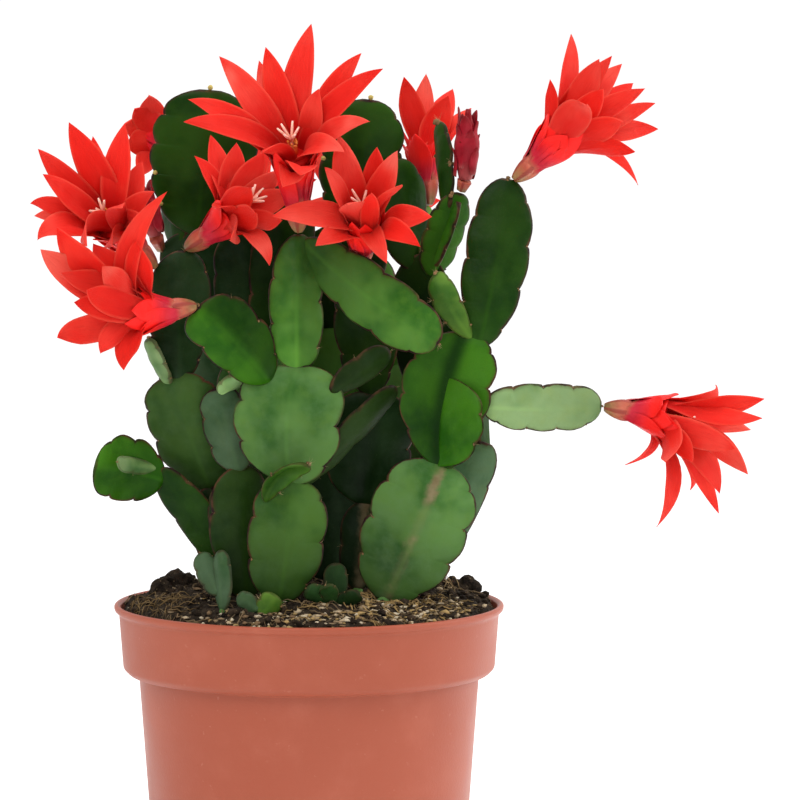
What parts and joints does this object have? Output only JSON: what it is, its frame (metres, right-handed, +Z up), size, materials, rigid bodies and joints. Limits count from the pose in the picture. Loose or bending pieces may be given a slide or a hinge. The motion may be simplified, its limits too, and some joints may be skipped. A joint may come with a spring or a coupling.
{
  "type": "potted flowering cactus",
  "caption": "Easter cactus with flat scalloped green segments and red star-shaped flowers, in a terracotta-coloured plastic nursery pot.",
  "frame": {"origin": "centre of the pot's underside, on the surface that it stands on", "axes": "+Z up through the pot; +X to the right and -Y towards the viewer, as in the picture"},
  "size_m": [0.2212, 0.1712, 0.2846],
  "materials": {
    "terracotta_plastic": "satin",
    "peat": "matte",
    "green_flesh": "satin",
    "olive_flesh": "satin",
    "red_petals": "satin",
    "stamens": "matte",
    "crimson_bud": "satin"
  },
  "bodies": {
    "root": {"pot": "terracotta_plastic", "soil": "peat", "stem_back": "green_flesh", "stem_front": "green_flesh", "stem_left_back": "green_flesh", "stem_left_front": "green_flesh", "stem_left_low": "green_flesh", "stem_left_middle": "green_flesh", "stem_middle": "green_flesh", "stem_middle_right": "green_flesh", "stem_rear_left": "green_flesh", "stem_rear_right": "green_flesh", "stem_right_back": "green_flesh", "stem_right_front": "green_flesh", "sprout_front": "green_flesh", "sprout_left": "green_flesh", "sprout_middle": "green_flesh", "bloom_far_right": "red_petals", "bloom_far_right_ovary": "olive_flesh", "bloom_far_right_stamens": "stamens", "bloom_front": "red_petals", "bloom_front_ovary": "olive_flesh", "bloom_front_stamens": "stamens", "bloom_left": "red_petals", "bloom_left_back": "red_petals", "bloom_left_back_ovary": "olive_flesh", "bloom_left_back_stamens": "stamens", "bloom_left_middle": "red_petals", "bloom_left_middle_ovary": "olive_flesh", "bloom_left_middle_stamens": "stamens", "bloom_left_ovary": "olive_flesh", "bloom_left_stamens": "stamens", "bloom_low_left": "red_petals", "bloom_low_left_ovary": "olive_flesh", "bloom_low_left_stamens": "stamens", "bloom_rear_left": "red_petals", "bloom_rear_left_ovary": "olive_flesh", "bloom_rear_left_stamens": "stamens", "bloom_rear_right": "red_petals", "bloom_rear_right_ovary": "olive_flesh", "bloom_rear_right_stamens": "stamens", "bloom_right_back": "red_petals", "bloom_right_back_ovary": "olive_flesh", "bloom_right_back_stamens": "stamens", "bloom_top": "red_petals", "bloom_top_ovary": "olive_flesh", "bloom_top_right": "red_petals", "bloom_top_right_ovary": "olive_flesh", "bloom_top_right_stamens": "stamens", "bloom_top_stamens": "stamens", "bud_left": "crimson_bud", "bud_left_ovary": "olive_flesh", "bud_right": "crimson_bud", "bud_right_ovary": "olive_flesh"}
  },
  "joints": []
}
